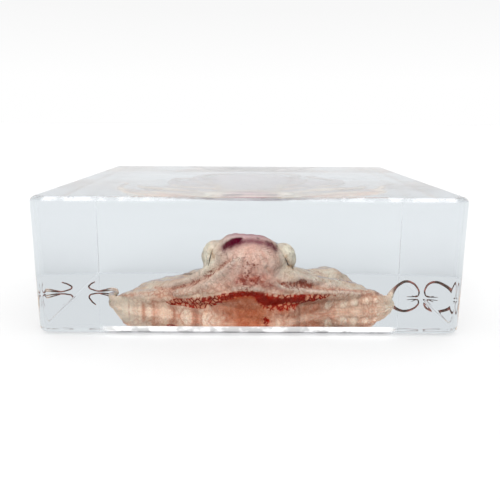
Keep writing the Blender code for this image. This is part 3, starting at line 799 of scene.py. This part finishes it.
def resin_material():
    """Clear resin, with white highlights painted in frosted, dashed bands low and high along the front's
    edges.
    """
    n = Nodes("clear_resin")
    split = n.add("ShaderNodeSeparateXYZ")
    n.tree.links.new(n.place, split.inputs[0])
    depth, height = split.outputs["Y"], split.outputs["Z"]
    across = n.maths("ABSOLUTE", split.outputs["X"])

    def along(value, places, out_low=0.0, out_high=1.0):
        """A ramp between two places in millimetres."""
        return n.ramp(value, places[0] * MM, places[1] * MM, out_low, out_high)

    # The low band is a painted highlight along the base's front edge, grey at its foot and white above
    low = n.times(along(height, BASE_BAND_FOOT), along(height, BASE_BAND_TOP, 0.95, 0.0))
    low = n.times(low, along(across, BASE_BAND_END, 1.0, 0.0))
    low = n.times(low, along(depth, BASE_BAND_REAR, 1.0, 0.0))
    high = n.times(along(height, TOP_BAND_FOOT), along(depth, TOP_BAND_REAR, 1.0, 0.0))
    high = n.times(high, along(across, TOP_BAND_THICKER, 0.2, 0.52))
    high = n.times(high, along(across, TOP_BAND_END, 1.0, 0.0))
    high = n.times(high, n.ramp(n.noise(2.5, 3.0), 0.35, 0.6, 0.35, 1.0))
    # The painted highlight bands are frosted: rougher, and letting less light through
    worn = n.maths("MAXIMUM", low, high)
    highlight_colour = n.mix(along(height, WHITER_ABOVE), HIGHLIGHT_GREY, HIGHLIGHT_WHITE)
    highlight_colour = n.mix(1.0, highlight_colour, n.grey(n.ramp(n.noise(3.0, 2.0), 0.4, 0.56, 0.52, 1.0)), "MULTIPLY")
    # The top face takes its own darker, bluer tint: painted shade on one face of the one resin
    tint = n.mix(along(height, TOP_FACE), n.mix(low, RESIN, highlight_colour), RESIN_TOP_SHADE)
    smeared = n.times(along(height, TOP_SMEARS, 0.0, 0.15), n.ramp(n.noise(9.0, 4.0), 0.4, 0.75, 0.6, 1.0))
    n.surface(n.mix(high, tint, TOP_EDGE_HIGHLIGHT), n.maths("ADD", smeared, n.times(worn, 0.6), clamp=True),
              n.bump(n.noise(14.0, 2.0), 0.01))
    n.feed(n.shader.inputs["Transmission Weight"], n.maths("SUBTRACT", 1.0, worn))
    n.shader.inputs["Specular Tint"].default_value = (0.15, 0.15, 0.15, 1.0)
    n.shader.inputs["IOR"].default_value = 1.52
    absorb = n.add("ShaderNodeVolumeAbsorption")
    absorb.inputs["Color"].default_value = (*RESIN_DEEP, 1.0)
    absorb.inputs["Density"].default_value = 0.5
    n.tree.links.new(absorb.outputs[0], n.tree.nodes["Material Output"].inputs["Volume"])
    return n.material


def floor_material():
    n = Nodes("pale_floor")
    tone = n.ramp(n.noise(40.0, 2.0), 0.2, 0.8, 0.68, 0.7)
    n.feed(n.shader.inputs["Base Color"], n.grey(tone))
    n.shader.inputs["Roughness"].default_value = 0.9
    n.shader.inputs["Specular IOR Level"].default_value = 0.0
    return n.material


# Shapes

def placed(name, data):
    """A new object in the scene, with that mesh, curve, lamp or camera."""
    made = bpy.data.objects.new(name, data)
    bpy.context.scene.collection.objects.link(made)
    return made


def add_piece(name, mesh, material):
    mesh.materials.clear()
    mesh.materials.append(material)
    return placed(name, mesh)


def mesh_from(bm, name):
    mesh = bpy.data.meshes.new(name)
    bm.to_mesh(mesh)
    bm.free()
    return mesh


def baked(holder):
    """The holder's mesh with its curve or modifiers worked out, without the holder itself."""
    mesh = bpy.data.meshes.new_from_object(holder.evaluated_get(bpy.context.evaluated_depsgraph_get()))
    bpy.data.objects.remove(holder, do_unlink=True)
    return mesh


def join_rings(bm, rings):
    """Adds faces between rings of points, and closes both ends."""
    for near, far in zip(rings, rings[1:]):
        for index in range(len(near)):
            following = (index + 1) % len(near)
            bm.faces.new((near[index], near[following], far[following], far[index]))
    bm.faces.new(rings[0][::-1])
    bm.faces.new(rings[-1])


def tube_mesh(name, points, sides_level=5, steps=14):
    """A tapering tube along a smooth curve through the points, with closed ends."""
    curve = bpy.data.curves.new(name, "CURVE")
    curve.dimensions = "3D"
    curve.bevel_depth = 1.0
    curve.bevel_resolution = sides_level
    curve.resolution_u = steps
    curve.use_fill_caps = True
    spline = curve.splines.new("BEZIER")
    spline.bezier_points.add(len(points) - 1)
    for knot, (x, y, z, radius) in zip(spline.bezier_points, points):
        knot.co = Vector((x, y, z)) * MM
        knot.radius = radius * MM
        knot.handle_left_type = "AUTO"
        knot.handle_right_type = "AUTO"
    return baked(placed(name, curve))


def add_sac(bm, stations, segments=48):
    """Adds a closed sac: elliptical rings along Y, with rings between the stations."""
    ys = np.array([station[0] for station in stations])
    stretches = [np.linspace(start, end, 4, endpoint=False) for start, end in zip(ys, ys[1:])]
    fine_ys = np.concatenate(stretches + [ys[-1:]])
    values = [np.interp(fine_ys, ys, [station[k] for station in stations]) for k in (1, 2, 3)]
    rings = []
    for y, half_width, half_height, middle in zip(fine_ys, *values):
        ring = []
        for index in range(segments):
            angle = math.tau * index / segments
            point = (half_width * math.cos(angle), y, middle + half_height * math.sin(angle))
            ring.append(bm.verts.new(Vector(point) * MM))
        rings.append(ring)
    join_rings(bm, rings)


def add_web(bm):
    """Adds the thin web between the arms: a flat sheet whose edge draws in between two arms."""
    order = ["front_left", "second_left", "third_left", "rear_left",
             "rear_right", "third_right", "second_right", "front_right"]
    reaches = [Vector(ARMS[name][WEB_REACH_POINT][:2]) for name in order]
    middle = sum(reaches, Vector((0.0, 0.0))) / len(reaches)
    outline = []
    for reach, following in zip(reaches, reaches[1:] + reaches[:1]):
        between = middle + ((reach + following) / 2 - middle) * WEB_HOLLOW
        for step in range(WEB_STEPS):
            share = step / WEB_STEPS
            near = reach.lerp(between, share)
            far = between.lerp(following, share)
            outline.append(near.lerp(far, share))
    low, high = ([bm.verts.new(Vector((*point, height)) * MM) for point in outline]
                 for height in (WEB_FOOT, WEB_HEIGHT))
    for index in range(len(low)):
        following = (index + 1) % len(low)
        bm.faces.new((low[index], high[index], high[following], low[following]))
    bm.faces.new(low)
    bm.faces.new(high[::-1])


def fused_mesh():
    """The octopus's body as one closed mesh: masses, sac, arms, folds and web, fused on a fine grid."""
    bm = bmesh.new()
    for centre, half_sizes in MASSES.values():
        place = Matrix.Translation(Vector(centre) * MM) @ Matrix.Diagonal((*(Vector(half_sizes) * MM), 1.0))
        bmesh.ops.create_uvsphere(bm, u_segments=48, v_segments=32, radius=1.0, matrix=place)
    for label, points in {**ARMS, **FOLDS}.items():
        bm.from_mesh(tube_mesh(label, points))
    add_sac(bm, MANTLE)
    add_web(bm)
    body = placed("fused", mesh_from(bm, "fused"))
    fuse = body.modifiers.new("Fuse", "REMESH")
    fuse.mode = "VOXEL"
    fuse.voxel_size = VOXEL * MM
    smooth = body.modifiers.new("Smooth", "SMOOTH")
    smooth.iterations = SMOOTHING
    return baked(body)


def near_line(points, path, width=1.0):
    """1 on a line through the path, falling off to 0 at about twice the width, or the path's own widths."""
    nearest = np.full(len(points), 1e9)
    stops = np.array(path, float)
    if stops.shape[1] == 3:
        stops = np.column_stack([stops, np.full(len(stops), width)])
    for start, end in zip(stops, stops[1:]):
        along = end[:3] - start[:3]
        share = np.clip((points - start[:3]) @ along / (along @ along), 0.0, 1.0)
        gap = np.linalg.norm(points - start[:3] - share[:, None] * along, axis=1)
        nearest = np.minimum(nearest, gap / (start[3] + share * (end[3] - start[3])))
    return np.exp(-(nearest ** 2))


def near_spot(points, centre, sizes):
    """1 at the centre, falling off to 0 at about twice the sizes along X, Y and Z."""
    return np.exp(-((((points - np.array(centre)) / np.array(sizes)) ** 2).sum(1)))


def rise(values, low, high):
    """0 below low, 1 above high, and smooth between them."""
    share = np.clip((values - low) / (high - low), 0.0, 1.0)
    return share * share * (3.0 - 2.0 * share)


def arrays(mesh):
    """A mesh's points in millimetres and its normals."""
    points = np.empty(len(mesh.vertices) * 3, np.float32)
    mesh.vertices.foreach_get("co", points)
    normals = np.empty(len(mesh.vertices) * 3, np.float32)
    mesh.vertices.foreach_get("normal", normals)
    return points.reshape(-1, 3).astype(float) / MM, normals.reshape(-1, 3).astype(float)


def set_points(mesh, points):
    mesh.vertices.foreach_set("co", (points * MM).astype(np.float32).ravel())
    mesh.update()


def set_mask(mesh, name, values):
    attribute = mesh.attributes.new(name, "FLOAT", "POINT")
    attribute.data.foreach_set("value", np.clip(values, 0.0, 1.0).astype(np.float32))


def flat_sole(mesh):
    """Cuts the body off flat a hair below the block's base, and closes it there."""
    bm = bmesh.new()
    bm.from_mesh(mesh)
    everything = bm.verts[:] + bm.edges[:] + bm.faces[:]
    cut = bmesh.ops.bisect_plane(bm, geom=everything, dist=1e-7, plane_co=(0.0, 0.0, SOLE * MM),
                                 plane_no=(0.0, 0.0, 1.0), clear_inner=True)
    rims = [item for item in cut["geom_cut"] if isinstance(item, bmesh.types.BMEdge)]
    bmesh.ops.triangle_fill(bm, use_beauty=True, edges=rims, normal=(0.0, 0.0, -1.0))
    bm.to_mesh(mesh)
    bm.free()


def rim_at(x):
    """The depth and the height of the web's rim at those places across the octopus."""
    rim_x, rim_depth, rim_height = np.array(RIM).T
    return np.interp(x, rim_x, rim_depth), np.interp(x, rim_x, rim_height)


def oral_side(points):
    """1 below the web's rim, on the side that carries the suckers."""
    x, y, z = points.T
    rim_depth, rim_height = rim_at(x)
    front = rise(rim_depth + 7.0 - y, 0.0, 2.5)
    below = rise(rim_height - z, -0.15, 0.4)
    sole = rise(1.1 - z, 0.0, 0.5)
    return np.maximum(front * below, sole)


def clouds(points, stretch=(1.0, 1.0, 1.0)):
    """Soft noise from -1 to 1 at the points, with features of about one unit."""
    return np.array([noise.noise(Vector(point)) for point in points * np.array(stretch)])


def arm_streaks(points):
    """Broad and fine noise that runs out along the arms."""
    x, y = points[:, 0], points[:, 1] + 16.0
    along = np.column_stack([np.arctan2(y, x) * 12.0, np.hypot(x, y) * 0.16, points[:, 2] * 0.9])
    return clouds(along), clouds(along, FINE_STREAKS)


def fan_rays(points):
    """Noise in rays that fan out down the face from a place above the head."""
    x, y, z = points.T
    turn = np.arctan2(x - FAN_X, FAN_Z - z)
    reach = np.hypot(x - FAN_X, FAN_Z - z)
    broad = clouds(np.column_stack([turn * 9.0, reach * 0.16, y * 0.1]))
    return broad + 0.6 * clouds(np.column_stack([turn * 21.0, reach * 0.25, y * 0.1]))


def sucker_reach(points, centre, radius):
    """Distance from a large sucker's centre, in its own radii."""
    return np.linalg.norm(points - np.array(centre), axis=1) / radius


def marked(points, name):
    """1 along the mark of that name."""
    return near_line(points, MARKS[name])


def spot(points, name):
    """1 in the middle of the soft spot of that name."""
    return near_spot(points, *SPOTS[name])


def skin_relief(points):
    """How far the skin is raised at the points: valleys, ridges, suckers and wrinkles."""
    oral = oral_side(points)
    streaks, fine_streaks = arm_streaks(points)
    relief = np.zeros(len(points))
    for path in VALLEYS.values():
        relief -= VALLEY_DEPTH * near_line(points, path)
    for path in EYE_SLITS.values():
        relief -= SLIT_DEPTH * near_line(points, [stop[:3] for stop in path], 0.4)
    relief += RIM_HEIGHT * near_line(points, RIM, 0.45)
    for *centre, radius in SUCKERS:
        away = sucker_reach(points, centre, radius)
        cushion = 0.13 * rise(1.1 - away, 0.0, 0.25) - 0.05 * rise(0.6 - away, 0.0, 0.5)
        relief += oral * radius * cushion
    for label, path in PALE_LINES.items():
        relief += (FAINT_HEIGHT if label in FAINT_LINES else RIDGE_HEIGHT) * near_line(points, path)
    skin = rise(points[:, 2], 0.5, 1.2) * (1.0 - 0.6 * spot(points, "head"))
    relief += skin * (0.16 * clouds(points * 0.33) + 0.1 * clouds(points * 1.1))
    relief += skin * (1.0 - oral) * (0.17 * streaks + 0.1 * fine_streaks)
    relief += skin * oral * (0.2 * np.abs(clouds(points * 0.62)) - 0.08)
    return relief


def face_masks(points, oral):
    """The colours above the rim: face and flush, hem, speckles, and pale, brown and dark lines, the brown and
    dark ones partly painted shade.
    """
    x, y, z = points.T
    rim_depth, rim_height = rim_at(x)
    face = np.maximum(rise(spot(points, "face"), 0.05, 0.85),
                      0.8 * rise(spot(points, "face_low"), 0.05, 0.8))
    warm = marked(points, "warm")
    tall = np.clip(3.8 - 0.13 * np.abs(x), 0.8, 3.8)
    hem = rise((tall - (z - rim_height)) / tall, 0.0, 0.85) * (1.0 - 0.35 * face)
    hem *= rise(rim_depth + 6.0 - y, 0.0, 3.0)
    pale = sum((0.55 if label.startswith("inner") else 1.0) * near_line(points, path)
               for label, path in PALE_LINES.items())
    speckle = 1.15 * near_line(points, VALLEYS["left"]) + 0.6 * near_line(points, VALLEYS["right"])
    speckle += marked(points, "speckle_middle")
    speckle += 1.2 * marked(points, "speckle_right")
    speckle += 0.45 * marked(points, "speckle_far_right")
    return {
        "face": face,
        "warm": warm,
        "fan": 0.5 + 0.55 * fan_rays(points),
        "hem": hem * (1.0 - 0.85 * warm),
        "pale": pale * (1.0 - oral),
        "valley_brown_and_shade": sum(near_line(points, path) for path in VALLEYS.values()),
        "right_valley_dark": marked(points, "right_valley_dark"),
        "lids": marked(points, "lid_left") + marked(points, "lid_right"),
        "speckle": np.maximum(speckle, 0.3 * (1.0 - oral) * rise(np.abs(x), 13.0, 18.0)),
    }


def foot_masks(points):
    """The colours below the rim: arch, dome and stain, suckers with painted shade between and round them,
    pale ends.
    """
    x, y, z = points.T
    dome = rise(spot(points, "dome"), 0.25, 0.85)
    arch = marked(points, "arch") * np.maximum(rise(z, 1.6, 2.3), rise(x, -9.0, -6.0))
    gap_shade = marked(points, "gap_shade")
    for gap_x, gap_y, width in FOOT_GAPS:
        beside = np.hypot(x - gap_x, 0.4 * (y - gap_y)) / width
        gap_shade = np.maximum(gap_shade, np.exp(-(beside ** 2)) * rise(2.4 - z, 0.0, 1.0))
    disc = np.zeros(len(points))
    groove_shade = np.zeros(len(points))
    for *centre, radius in SUCKERS:
        away = sucker_reach(points, centre, radius)
        disc = np.maximum(disc, rise(1.1 - away, 0.0, 0.3))
        groove_shade = np.maximum(groove_shade, np.exp(-(((away - 1.18) / 0.16) ** 2)))
    return {
        "arch": np.maximum(arch, 0.9 * spot(points, "arch_foot")),
        "core": marked(points, "core"),
        "rust": marked(points, "rust"),
        "dome": dome,
        "stain": np.maximum(rise(spot(points, "stain"), 0.15, 0.8),
                            0.8 * rise(spot(points, "stain_right"), 0.1, 0.7)),
        "gap_shade": gap_shade,
        "sucker": disc,
        "groove_shade": groove_shade * (1.0 - 0.5 * dome) * (1.0 - 0.6 * rise(x, 5.0, 12.0)),
        "calm": np.maximum(0.8 * rise(1.0 - z, 0.0, 0.6) * rise(x, 7.0, 11.0),
                           0.85 * rise(3.6 - z, 0.0, 1.5) * rise(x, 14.0, 20.0)),
        "ends": rise(-x, 16.5, 24.5) + rise(x, 24.5, 29.0),
        # Painted light: the skin lightened near the base and at the right arm's end, against their shade
        "sole": 0.1 * rise(0.5 - z, 0.0, 0.5) + 0.04 * rise(x, 24.5, 28.0) * rise(4.0 - z, 0.0, 2.0),
    }


def head_masks(points, normals, oral):
    """The colours of the head, the back and the arms' upper sides, and a few small dark marks, one a line of
    painted shade along a fold.
    """
    x, y, z = points.T
    plum = np.maximum(marked(points, "plum"), 0.75 * spot(points, "plum_top"))
    blush = 0.15 * rise(normals[:, 2], 0.75, 0.93) * rise(y, -25.6, -23.6) * rise(-15.0 - y, 0.0, 4.0)
    facing_up = rise(normals[:, 2], 0.55, 0.85) * rise(normals[:, 1], -0.25, 0.0)
    # A line of painted shade along a fold, and a few small dark spots
    dark = 0.8 * marked(points, "dark")
    for place in DARK_SPOTS:
        dark += 0.9 * near_spot(points, place, DARK_SPOT_SIZES)
    return {
        "magenta": marked(points, "magenta") + 0.65 * marked(points, "magenta_right"),
        "plum": 0.9 * plum,
        "crown": spot(points, "crown") * (1.0 - 0.8 * rise(y, -23.0, -21.0)),
        "cream": 1.1 * (spot(points, "cream_left") + spot(points, "cream_right")),
        "blush": blush * (1.0 - oral),
        "top": 0.8 * facing_up * rise(y, -19.0, -14.0) * (1.0 - oral),
        "back": np.maximum(0.95 * rise(y - 0.5 * np.abs(x), -11.0, 0.0) * rise(z, 3.0, 6.0),
                           0.7 * rise(y, -5.0, 4.0) * rise(25.0 - np.abs(x), 0.0, 4.0)),
        "dark": dark,
    }


def octopus():
    """The octopus's body: the fused mesh with its relief, its flat sole and its masks."""
    mesh = fused_mesh()
    points, normals = arrays(mesh)
    set_points(mesh, points + normals * skin_relief(points)[:, None])
    flat_sole(mesh)
    points, normals = arrays(mesh)
    oral = oral_side(points)
    streaks, fine_streaks = arm_streaks(points)
    masks = {"oral": oral, "streaks": 0.5 + 0.35 * streaks + 0.35 * fine_streaks}
    masks |= face_masks(points, oral) | foot_masks(points) | head_masks(points, normals, oral)
    for name, values in masks.items():
        set_mask(mesh, name, values)
    mesh.shade_smooth()
    mesh.set_sharp_from_angle(angle=math.radians(55.0))
    return add_piece("octopus_body", mesh, skin_material())


def sucker(bm, centre, out, radius, cup_layer):
    """Adds one small sucker: a low round wall with a hollow in it."""
    place = Matrix.Translation(centre) @ out.to_track_quat("Z", "Y").to_matrix().to_4x4()
    rings = []
    for share, height, cup in SUCKER_PROFILE:
        ring = []
        for index in range(SUCKER_SIDES):
            angle = math.tau * index / SUCKER_SIDES
            wobble = 1.0 + 0.06 * math.sin(3 * angle + centre.x * 2100.0)
            across, along = math.cos(angle) * share * wobble, math.sin(angle) * share * wobble
            vert = bm.verts.new(place @ (Vector((across, along, height)) * radius))
            # How much painted shade darkens the hollow here
            vert[cup_layer] = cup
            ring.append(vert)
        rings.append(ring)
    join_rings(bm, rings)


def arm_suckers(body_tree):
    """Two rows of small suckers along the lower flanks of the other arms, smaller towards their ends."""
    bm = bmesh.new()
    cup_layer = bm.verts.layers.float.new("cup")
    for label, stops in ARMS.items():
        if label.startswith("front"):
            continue
        path = [Vector(stop) for stop in stops]
        for start, end in zip(path[1:], path[2:]):
            along = end.xyz - start.xyz
            across = Vector((along.y, -along.x, 0.0)).normalized()
            radius = SUCKER_SHARE * (start.w + end.w) / 2
            count = max(1, int(along.length / (SUCKER_SPACING * radius)))
            for index in range(count):
                spot = start.lerp(end, (index + 0.5) / count)
                for side in (-1.0, 1.0):
                    height = 0.75 * radius + 0.12 + 0.1 * math.sin(7.0 * spot.x + side)
                    aim = Vector((spot.x, spot.y, height)) + across * side * (spot.w + 1.6)
                    met, normal, *_ = body_tree.ray_cast(aim * MM, -across * side, 2.4 * MM)
                    if met is not None:
                        sucker(bm, met, (normal + across * side).normalized(), radius * MM, cup_layer)
    for vert in bm.verts:
        vert.co.z = max(vert.co.z, SOLE * MM)
    mesh = mesh_from(bm, "arm_suckers")
    mesh.shade_smooth()
    return add_piece("arm_suckers", mesh, sucker_material())


def arm_tips():
    """The thin dark ends of the two front arms."""
    bm = bmesh.new()
    for label, points in TIPS.items():
        bm.from_mesh(tube_mesh(label, points, 4, 12))
    for vert in bm.verts:
        vert.co.z = max(vert.co.z, SOLE * MM)
    mesh = mesh_from(bm, "arm_tips")
    reach = np.abs(arrays(mesh)[0][:, 0])
    set_mask(mesh, "root", 1.0 - rise(reach, *TIP_ROOT_END))
    mesh.shade_smooth()
    return add_piece("arm_tips", mesh, tip_material())


def eye_slits(body_tree):
    """The thin dark slit across each eye, laid into the skin."""
    bm = bmesh.new()
    for label, path in EYE_SLITS.items():
        stops = []
        for point in path:
            met, normal, *_ = body_tree.find_nearest(Vector(point[:3]) * MM)
            spot = (met - normal * SLIT_SINK * MM) / MM
            stops.append((*spot, point[3]))
        bm.from_mesh(tube_mesh(label, stops, 3, 10))
    mesh = mesh_from(bm, "eye_slits")
    mesh.shade_smooth()
    return add_piece("eye_slits", mesh, slit_material())


def block_section(height, base_radius=EDGE_RADIUS_BASE, top_radius=EDGE_RADIUS_TOP):
    """Half width of the block at a height, with its edges rounded over."""
    half = BLOCK_WIDTH / 2 - (BLOCK_HEIGHT - height) * math.tan(DRAFT)
    for radius, distance in ((base_radius, height), (top_radius, BLOCK_HEIGHT - height)):
        if distance < radius:
            half -= radius - math.sqrt(max(0.0, radius ** 2 - (radius - distance) ** 2))
    return half


def resin_block():
    """The block as a stack of rounded squares, drafted, with rounded edges."""
    edge_angles = [math.radians(90.0) * step / EDGE_STEPS for step in range(EDGE_STEPS + 1)]
    heights = [EDGE_RADIUS_BASE * (1 - math.cos(angle)) for angle in edge_angles]
    heights += [BLOCK_HEIGHT - EDGE_RADIUS_TOP * (1 - math.cos(angle)) for angle in edge_angles[::-1]]
    bm = bmesh.new()
    rings = []
    for height in heights:
        half = block_section(height, SIDE_EDGE_RADIUS)
        front = block_section(height)
        rear = block_section(height, REAR_EDGE_RADIUS)
        front_corner = CORNER_RADIUS_BASE + (CORNER_RADIUS_TOP - CORNER_RADIUS_BASE) * height / BLOCK_HEIGHT
        ring = []
        for quarter, (right, back) in enumerate(((1, 1), (-1, 1), (-1, -1), (1, -1))):
            corner = REAR_CORNER_RADIUS if back > 0 else front_corner
            depth = rear if back > 0 else front
            for step in range(CORNER_STEPS):
                angle = math.radians(90.0) * (quarter + step / (CORNER_STEPS - 1))
                x = right * (half - corner) + corner * math.cos(angle)
                y = back * (depth - corner) + corner * math.sin(angle)
                ring.append(bm.verts.new(Vector((x, y, height)) * MM))
        rings.append(ring)
    join_rings(bm, rings)
    mesh = mesh_from(bm, "resin_block")
    mesh.shade_smooth()
    block = add_piece("resin_block", mesh, resin_material())
    flat = block.modifiers.new("FlatFaces", "WEIGHTED_NORMAL")
    flat.weight = 100
    flat.keep_sharp = False
    return block


# Stage

def stage():
    """A pale floor, a nearly white world, and two soft lamps that light the octopus through the resin."""
    bm = bmesh.new()
    place = Matrix.Translation((0, 0, -0.1 * MM))
    bmesh.ops.create_grid(bm, x_segments=1, y_segments=1, size=FLOOR_SIZE, matrix=place)
    add_piece("floor", mesh_from(bm, "floor"), floor_material())

    world = bpy.data.worlds.new("studio")
    world.use_nodes = True
    tree = world.node_tree
    background = tree.nodes["Background"]
    split = tree.nodes.new("ShaderNodeSeparateXYZ")
    tree.links.new(tree.nodes.new("ShaderNodeTexCoord").outputs["Generated"], split.inputs[0])
    height = tree.nodes.new("ShaderNodeMapRange")
    for socket, number in zip(height.inputs[1:5], HORIZON + WORLD_STRENGTH):
        socket.default_value = number
    tree.links.new(split.outputs["Z"], height.inputs[0])
    tree.links.new(height.outputs[0], background.inputs["Strength"])
    background.inputs["Color"].default_value = (1.0, 1.0, 1.0, 1.0)
    bpy.context.scene.world = world

    for name, (towards, strength) in LAMPS.items():
        lamp = bpy.data.lights.new(name, "SUN")
        lamp.energy = strength
        lamp.angle = math.radians(LAMP_ANGLE)
        lamp.use_shadow = False
        holder = placed(name, lamp)
        holder.rotation_euler = Vector(towards).to_track_quat("-Z", "Y").to_euler()
        holder.visible_transmission = False
        holder.visible_glossy = False


def camera():
    """The photo's camera, in front of the block and a little above it."""
    lens = bpy.data.cameras.new("camera")
    lens.lens = LENS
    lens.sensor_width = SENSOR_WIDTH
    lens.clip_start = 0.001
    holder = placed("camera", lens)
    holder.matrix_world = (Matrix.Translation(CAMERA_PLACE)
                           @ Matrix.Rotation(math.radians(PAN), 4, "Z")
                           @ Matrix.Rotation(math.radians(90.0 + TILT), 4, "X")
                           @ Matrix.Rotation(math.radians(ROLL), 4, "Z"))
    bpy.context.scene.camera = holder


def light_paths():
    """Enough bounces for light to leave the block after its inner reflections, and plain colours."""
    settings = bpy.context.scene.cycles
    settings.max_bounces = BOUNCES
    settings.glossy_bounces = BOUNCES
    settings.transmission_bounces = BOUNCES
    settings.diffuse_bounces = 4
    bpy.context.scene.view_settings.view_transform = "Standard"


camera()
stage()
light_paths()

body = octopus()
tree = BVHTree.FromObject(body, bpy.context.evaluated_depsgraph_get())
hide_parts("octopus")
for piece in (body, arm_suckers(tree), arm_tips(), eye_slits(tree)):
    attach(piece, "root")
block = resin_block()
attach(block, "root")
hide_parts("resin_lower", "resin_upper")
